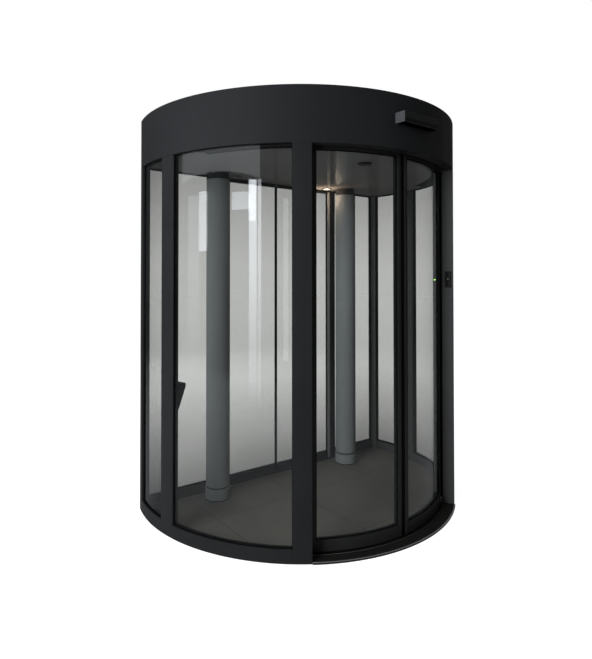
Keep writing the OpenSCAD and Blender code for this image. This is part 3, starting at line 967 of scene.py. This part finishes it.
def makeRearWall(side, flip):
    look = rearWall
    low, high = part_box("rear_right_jamb")
    post = block(low, high, wall["edge"], wall["edgeSegments"])
    place(side + "RearJamb", flip(post), ["frameCoat"], f"rear_{side}_jamb")
    inner = high.x
    low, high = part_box("rear_right_rail")
    rail = paintLightOnSides(block(low, high, look["railEdge"]), flat=True)
    place(side + "RearRail", flip(rail), darkAndPaintedLight, f"rear_{side}_rail")
    outer, foot = high.x, high.z
    y1, y2 = (corner.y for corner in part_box("rear_right_glass"))
    gap, w, d = look["paneGap"], look["gasketWidth"], look["gasketDepth"]
    pane = flatPane((inner + gap, y1, foot + look["paneFoot"]), (outer - gap, y2, passage - gap))
    materials = ["rearGlass", "glassEdge"]
    place(side + "RearGlass", flip(pane), materials, f"rear_{side}_glass")
    strips = [
        block((x1, a, z1), (x2, b, z2), look["gasketEdge"])
        for a, b in ((y1 - d, y1), (y2, y2 + d))
        for x1, x2, z1, z2 in fourSides(inner, outer, foot, passage, w, w)
    ]
    place(side + "RearGasket", flip(joined(*strips)), ["rubberAndPaintedShade"])


def makeRearLeaf(side, flip):
    look = rearLeaf
    body = f"rear_{side}_leaf"
    low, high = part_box("rear_right_leaf_frame")
    foot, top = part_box("rear_right_rail")[1].z, high.z - look["topRail"]
    y1, y2 = (corner.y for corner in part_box("rear_right_leaf_glass"))
    edge = high.x - look["stileWidth"]

    def noseEdge(e):  # an upright edge on the pin's side
        return abs(e.verts[0].co.z - e.verts[1].co.z) > 1 and e.verts[0].co.x > edge + 0.01

    stile = block((edge, low.y, low.z), high)
    roundEdges(stile, look["nose"], 10, onlyIf=noseEdge)
    roundEdges(stile, look["edge"], sharpest=60)
    bottom = block(low, (edge - look["railGap"], high.y, foot), look["bottomEdge"])
    upper = block((low.x, low.y, top), (edge - look["railGap"], high.y, high.z), look["edge"])
    leafFrame = joined((stile, 1), bottom, upper)
    for face in leafFrame.faces:  # the stile's outdoor face is dark like the rest; its other faces are pale, painted light
        if face.normal.y > 0.3:
            face.material_index = 0
    materials = ["frameCoat", "paintedLightStile"]
    place(side + "RearLeafFrame", flip(leafFrame), materials, body + "_frame", body)

    gap, w, d = look["paneGap"], look["gasketWidth"], look["gasketDepth"]
    pane = flatPane((low.x, y1, foot + gap), (edge - gap, y2, top - gap))
    place(side + "RearLeafGlass", flip(pane), ["rearGlass", "glassEdge"], body + "_glass", body)
    gap, proud, end = look["sealGap"], look["sealProud"], look["sealEnd"]
    first, last = low.x + look["topSealFrom"], high.x - look["topSealTo"]
    strips = [
        block((gap, y1 - proud, low.z + end), (low.x, y2 + proud, high.z - end), look["sealEdge"], 3),
        block((first, y1, high.z), (last, y2, passage - gap), look["topSealEdge"]),
    ]
    for a, b in ((y1 - d, y1), (y2, y2 + d)):
        strips.append(block((low.x, a, foot), (edge, b, foot + w), look["gasketEdge"]))
        strips.append(block((edge - w, a, foot + w), (edge, b, top), look["gasketEdge"]))
    place(side + "RearLeafSeal", flip(joined(*strips)), ["rubberAndPaintedShade"], body=body)


onBothSides(makeRearWall)
onBothSides(makeRearLeaf)
print("rear wall made")


leaf = {
    "glassOuter": innerRadius - 0.022, "glassInner": innerRadius - 0.030, "meetingGap": 0.033,
    "leadWidth": 0.022, "trailWidth": 0.075, "trailInset": 1.7, "bottom": floorTop + 0.007,
    "railHeight": 0.061, "topShow": 0.012, "topHidden": 0.025, "stileStep": 0.6, "thinStep": 0.3,
    "stileEdge": 0.0015, "railEdge": 0.0012, "railGap": 0.02, "paneGap": 0.0005, "gasketWidth": 0.004,
    "gasketDepth": 0.003, "seal": 0.014, "sealInset": 0.006, "sealFoot": 0.003, "sealTop": 0.004,
    "sealEdge": 0.0022, "fin": 0.009, "finFoot": 0.01, "finTop": 0.006, "finTurn": 0.4, "finEdge": 0.002,
    "lining": 0.0015, "liningIn": 0.002, "liningOut": 0.0035, "liningEnd": 0.004, "liningEdge": 0.0005,
    "lightHeight": 1.408, "light": ((0.0052, 0), (0.0052, 0.0008), (0.0034, 0.0014)),
}
roller = {
    "stem": (0.020, 0.004), "stemUp": 0.008, "stemEdge": 0.001, "axleDown": 0.010, "radius": 0.010,
    "bevel": 0.0015, "from": 0.011, "to": 0.023, "axleRadius": 0.004, "axleReach": 0.0225,
    "shares": (0.2, 0.8),
}


def hangers(lead, end, top):
    # stems and rollers inside the header track, out of sight
    look, parts = roller, []
    middle = (leafInner + leafOuter) / 2
    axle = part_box("right_leaf_frame")[1].z - look["axleDown"]
    (x, y), radius, bevel = look["stem"], look["radius"], look["bevel"]
    for share in look["shares"]:
        stem = block((-x, -middle - y, top), (x, -middle + y, axle + look["stemUp"]), look["stemEdge"])
        wheels = [
            rod(radius, y1, y2, foot=bevel, top=bevel, segments=32)
            for y1, y2 in ((-look["to"], -look["from"]), (look["from"], look["to"]))
        ]
        shaft = rod(look["axleRadius"], -look["axleReach"], look["axleReach"], segments=24)
        turning = [moved(turned(part, 90, "X"), (0, -middle, axle)) for part in (*wheels, shaft)]
        parts += [turned(part, lead + share * (end - lead)) for part in (stem, *turning)]
    return parts


def makeLeaf(side, flip):
    body, look = side + "_leaf", leaf
    inner, outer = leafInner, leafOuter
    lead = turn(look["meetingGap"] / 2, (outer + inner) / 2)
    leadEnd = lead + turn(look["leadWidth"], outer)
    trail = openingAngle - look["trailInset"]
    end = trail + turn(look["trailWidth"], outer)
    low, high = look["bottom"], passage + look["topHidden"]
    foot, top = low + look["railHeight"], passage - look["topShow"]
    stile = (look["stileStep"], look["stileEdge"], 3)
    first, last = leadEnd + look["railGap"], trail - look["railGap"]
    frameParts = joined(
        bar(inner, outer, low, high, lead, leadEnd, *stile),
        bar(inner, outer, low, high, trail, end, *stile),
        bar(inner, outer, low, foot, first, last, edge=look["railEdge"]),
        bar(inner, outer, top, high, first, last, edge=look["railEdge"]),
        *hangers(lead, end, high),
    )
    place(side + "LeafFrame", flip(frameParts), ["leafCoat"], body + "_frame", body)

    glassIn, glassOut, gap = look["glassInner"], look["glassOuter"], look["paneGap"]
    pane = curvedPane(glassIn, glassOut, foot + gap, top - gap, leadEnd, trail)
    place(side + "LeafGlass", flip(pane), ["paneGlass", "glassEdge"], body + "_glass", body)
    strips = gasketFrame(glassIn, glassOut, leadEnd, trail, foot, top, look)
    inset = look["sealInset"]
    seal = bar(
        inner + inset, outer - inset, low + look["sealFoot"], passage - look["sealTop"],
        lead - turn(look["seal"], inner), lead, look["stileStep"], look["sealEdge"], 4,
    )
    fin = bar(
        outer, outer + look["fin"], low + look["finFoot"], passage - look["finTop"],
        end - look["finTurn"], end, look["thinStep"], look["finEdge"], 3,
    )
    place(side + "LeafSeal", flip(joined(strips, seal, fin)), ["rubberAndPaintedShade"], body=body)

    # a pale strip on the trailing stile's side face, painted light where that face catches the light
    across, inset = turn(look["lining"], inner), look["liningEnd"]
    lining = bar(
        inner + look["liningIn"], glassIn - look["liningOut"], foot + inset, top - inset,
        trail - across, trail, look["thinStep"], look["liningEdge"],
    )
    place(side + "LeafPaintedLight", flip(lining), ["paintedLightLining"], body=body)
    if side == "right":
        light = turned(lathe(look["light"], segments=24), -90, "Y")
        moved(light, (0, -(inner + glassIn) / 2, look["lightHeight"]))
        place("leafLight", turned(light, trail - across), ["greenLed"], body=body)


onBothSides(makeLeaf)
print("sliding leaves made")


carried = {
    "floor_plate": "floorTiles",
    "ceiling_panel": "ceilingLacquer",
    "header_track": "trackMetal",
}
for node, material in carried.items():
    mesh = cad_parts[node].data
    mesh.materials.clear()
    mesh.materials.append(finish[material])


studio = {
    "floorSize": 60.0,
    "floorColour": (0.30, 0.30, 0.30),
    "floorGlow": (0.94, 0.985),
    "floorReach": (1.6, 6.0),
    "worldColour": (0.97, 0.98, 1.0),
    "worldLight": 0.045,
    "glossyShare": 0.06,
    "aim": (0, 0, 1.1),
    "panelColour": (0.97, 0.98, 1.0),
    "fade": (0.0, 0.9),
}
softBoxes = {
    "key": {"place": (-5.6, -1.6, 2.7), "size": (2.6, 2.6), "power": 262, "colour": (0.94, 0.965, 1.0)},
    "fill": {"place": (3.0, -6.0, 3.4), "size": (3.0, 3.0), "power": 24, "colour": (1.0, 0.98, 0.95)},
    "top": {
        "place": (0, -0.4, 5.5), "aim": (0, -0.4, 0), "size": (3.0, 3.0), "power": 100, "colour": (1, 1, 1),
    },
    "rear": {"place": (1.2, 5.2, 3.4), "size": (4.0, 3.0), "power": 220, "colour": (1, 1, 1)},
    "cabin": {
        "place": (0, -0.3, 2.04), "aim": (0, -0.3, 0), "size": (0.9, 0.7), "power": 0.6,
        "colour": (1.0, 0.98, 0.94),
    },
}
panels = {  # upright pale boards that show as streaks in the curved glass
    "tallPanel": {"place": (-3.73, -1.95), "span": (0.0, 2.52), "width": 0.34, "glow": 7.5, "fades": True},
    "brightPanel": {"place": (-3.77, -1.94), "span": (2.06, 2.52), "width": 0.33, "glow": 5.0},
    "edgePanel": {"place": (-3.60, -2.21), "span": (-0.2, 2.52), "width": 0.15, "glow": 5.0, "fades": True},
    "windowPanel": {"place": (-3.92, -1.43), "span": (2.18, 2.38), "width": 0.79, "glow": 4.2},
    "smallPanel": {"place": (-4.06, 0.36), "span": (1.72, 2.40), "width": 0.42, "glow": 5.5},
    "sidePanel": {"place": (-3.93, 0.84), "span": (0.3, 2.35), "width": 0.62, "glow": 1.4, "fades": True},
    "frontPanel": {"place": (-2.90, -3.09), "span": (0.5, 2.30), "width": 0.22, "glow": 1.4},
    "highPanel": {"place": (-4.15, -0.30), "span": (2.62, 3.6), "width": 4.3, "glow": 1.15},
}


def seenShare(tree):
    # 1 for camera and transmission rays, a share for glossy ones
    path = addNode(tree, "LightPath").outputs
    seen = mathNode(tree, "MAXIMUM", path["Is Camera Ray"], path["Is Transmission Ray"])
    dimmed = mathNode(tree, "MULTIPLY", path["Is Glossy Ray"], studio["glossyShare"])
    return mathNode(tree, "MAXIMUM", seen, dimmed)


def makeWorld():
    world = bpy.data.worlds.new("studio")
    bpy.context.scene.world = world
    world.use_nodes = True
    tree = world.node_tree
    tree.nodes.clear()
    light = addNode(tree, "Background", {"Color": studio["worldColour"], "Strength": studio["worldLight"]})
    white = addNode(tree, "Background", {"Color": (1, 1, 1), "Strength": 1})
    mix = addNode(tree, "MixShader", {0: seenShare(tree), 1: light.outputs[0], 2: white.outputs[0]})
    addNode(tree, "OutputWorld", {"Surface": mix.outputs[0]})


def makeFloor():
    # matt, so that it keeps the shadow, with a glow towards the camera that makes it white
    material, tree, coords = newMaterial("stageFloor")
    matt = addNode(tree, "BsdfDiffuse", {"Color": studio["floorColour"]})
    away = addNode(tree, "VectorMath", {0: coords}, operation="LENGTH").outputs["Value"]
    whiter = rangeNode(tree, away, *studio["floorGlow"], *studio["floorReach"])
    strength = mathNode(tree, "MULTIPLY", seenShare(tree), whiter)
    glow = addNode(tree, "Emission", {"Color": (1, 1, 1), "Strength": strength})
    showSurface(tree, addNode(tree, "AddShader", {0: matt.outputs[0], 1: glow.outputs[0]}))
    bm = bmesh.new()
    bmesh.ops.create_grid(bm, x_segments=1, y_segments=1, size=studio["floorSize"] / 2)
    moved(bm, (0, 0, -0.0005))
    meshObject("stageFloor", bm, [material])


def newLamp(name, kind, look, reflects=False):
    light = bpy.data.lights.new(name, kind)
    light.energy = look["power"]
    light.color = look["colour"]
    lamp = newObject(name, light)
    lamp.location = look["place"]
    lamp.visible_glossy = reflects
    lamp.visible_camera = False
    return lamp


def softBox(name, look, reflects=False):
    lamp = newLamp(name, "AREA", look, reflects)
    lamp.data.shape = "RECTANGLE"
    lamp.data.size, lamp.data.size_y = look["size"]
    aim = Vector(look.get("aim", studio["aim"])) - Vector(look["place"])
    lamp.rotation_euler = aim.to_track_quat("-Z", "Y").to_euler()
    return lamp.data


def fadeDownwards(light):  # dark at its foot and brightest at the top
    light.use_nodes = True
    tree = light.node_tree
    across = addNode(tree, "NewGeometry").outputs["Parametric"]
    height = addNode(tree, "SeparateXYZ", {0: across}).outputs["Y"]
    climb = rangeNode(tree, height, 0, 1, *studio["fade"])
    tree.links.new(climb, tree.nodes["Emission"].inputs["Strength"])


def panel(name, look):
    low, high = look["span"]
    middle, size = (low + high) / 2, (look["width"], high - low)
    light = softBox(name, {
        "place": (*look["place"], middle),
        "aim": (0, 0, middle),
        "size": size,
        "power": look["glow"] * math.pi * size[0] * size[1],
        "colour": studio["panelColour"],
    }, True)
    if "fades" in look:
        fadeDownwards(light)


warmGlow = {"inset": 0.0387, "below": 0.012, "radius": 0.03, "power": 0.9, "colour": (1.0, 0.72, 0.5)}


def makeGlow():  # the lit ceiling light warms the top of the column beside it
    low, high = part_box("ceiling_lights")
    down = low.z - warmGlow["below"] - warmGlow["radius"]
    spot = (high.x - warmGlow["inset"], (low.y + high.y) / 2, down)
    newLamp("ceilingGlow", "POINT", {**warmGlow, "place": spot}).data.shadow_soft_size = warmGlow["radius"]


view = {
    "distance": 3.7006, "azimuth": 37.98, "height": 1.422, "lens": 28.99, "sensor": 36,
    "left": 1.7055, "up": 0.815, "shift": (0.0257, -0.0902),
}


def makeCamera():
    data = bpy.data.cameras.new("camera")
    data.lens = view["lens"]
    data.sensor_width = view["sensor"]
    data.shift_x, data.shift_y = view["shift"]
    camera = newObject("camera", data)
    angle, away = math.radians(view["azimuth"]), view["distance"]
    camera.location = (-away * math.sin(angle), -away * math.cos(angle), view["height"])
    camera.rotation_euler = (math.radians(90 + view["up"]), 0, math.radians(view["left"]) - angle)
    bpy.context.scene.camera = camera


makeWorld()
makeFloor()
for name, look in softBoxes.items():
    softBox(name, look)
for name, look in panels.items():
    panel(name, look)
makeGlow()
makeCamera()
bpy.context.scene.view_settings.view_transform = "Standard"
print("stage made")
